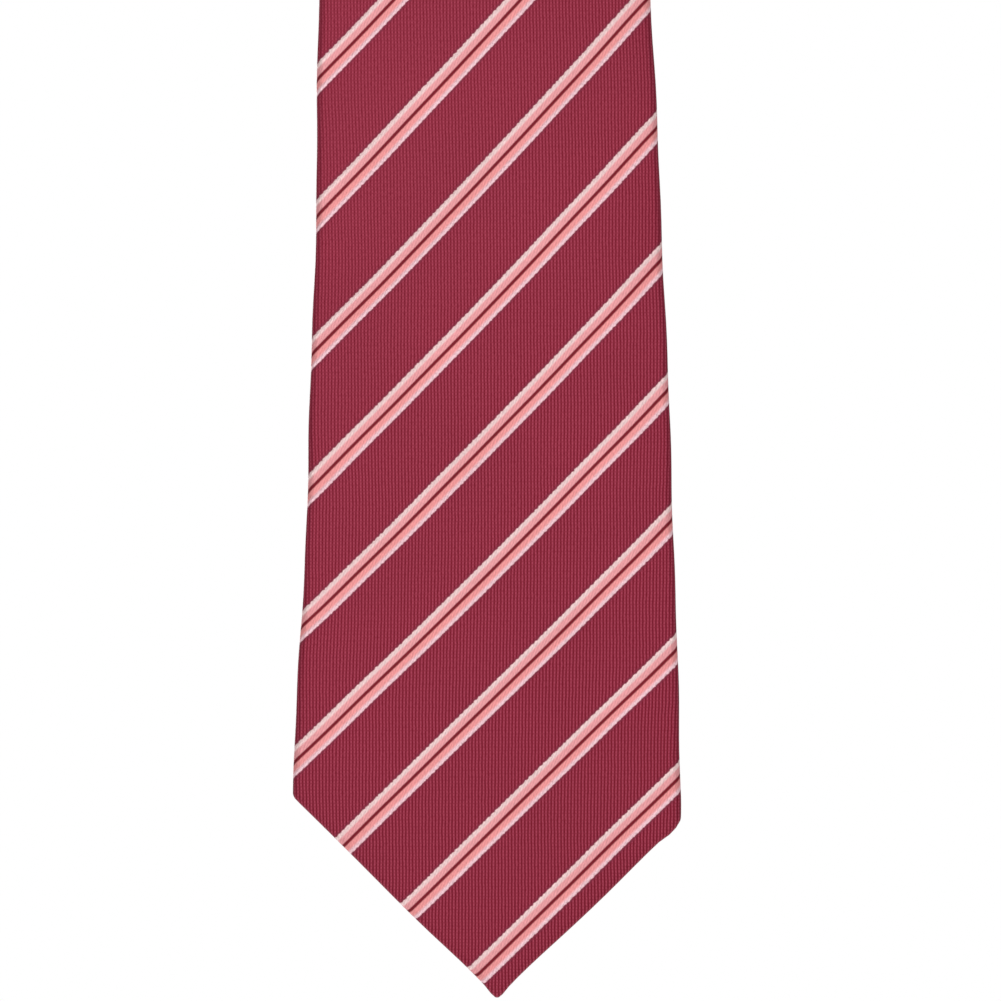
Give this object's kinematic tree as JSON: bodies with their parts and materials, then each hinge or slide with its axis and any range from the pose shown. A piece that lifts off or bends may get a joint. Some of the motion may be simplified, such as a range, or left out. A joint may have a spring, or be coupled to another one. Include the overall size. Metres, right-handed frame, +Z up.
{
  "type": "necktie",
  "caption": "Folded and sewn necktie with a wide pointed front blade, a bias neck and a narrow tail, hung over a bar by its neck.",
  "frame": {"origin": "on the axis of the bar that the neck hangs over, halfway across the tie", "axes": "+Z up; +X across the tie, to the right as its front is seen; the front blade's face looks towards -Y and the tail hangs behind it"},
  "size_m": [0.0888, 0.0186, 0.8887],
  "materials": {
    "striped_repp": "ribbed silk weave with raised diagonal stripes, soft sheen",
    "interlining_wool": "napped wool, matte",
    "tipping_satin": "smooth satin lining",
    "sewing_thread": "twisted silk thread",
    "label_satin": "smooth woven satin ribbon"
  },
  "bodies": {
    "neck": {"neck_shell": "striped_repp", "neck_interlining": "interlining_wool", "neck_slip_stitch": "sewing_thread"},
    "front_blade": {"front_blade_shell": "striped_repp", "front_interlining": "interlining_wool", "front_tipping": "tipping_satin", "front_slip_stitch": "sewing_thread", "front_bar_tack": "sewing_thread", "front_slack_loop": "sewing_thread", "front_hem_thread_left": "sewing_thread", "front_hem_thread_right": "sewing_thread", "keeper_loop": "striped_repp", "keeper_stitch_left": "sewing_thread", "keeper_stitch_right": "sewing_thread", "care_label_stitch": "sewing_thread"},
    "tail_blade": {"tail_blade_shell": "striped_repp", "tail_interlining": "interlining_wool", "tail_tipping": "tipping_satin", "tail_slip_stitch": "sewing_thread", "tail_bar_tack": "sewing_thread", "tail_hem_thread_left": "sewing_thread", "tail_hem_thread_right": "sewing_thread"},
    "care_label": {"care_label": "label_satin"}
  },
  "joints": [
    {"name": "front_blade_swing", "type": "hinge", "parent": "neck", "child": "front_blade", "pos_m": [0, -0.00925, -0.14], "axis": [-1, 0, 0], "range_deg": [0, 110]},
    {"name": "tail_blade_swing", "type": "hinge", "parent": "neck", "child": "tail_blade", "pos_m": [0, 0.00925, -0.20502], "axis": [1, 0, 0], "range_deg": [0, 110]},
    {"name": "label_lift", "type": "hinge", "parent": "front_blade", "child": "care_label", "pos_m": [0, -0.0046, -0.698], "axis": [1, 0, 0], "range_deg": [0, 90]}
  ]
}
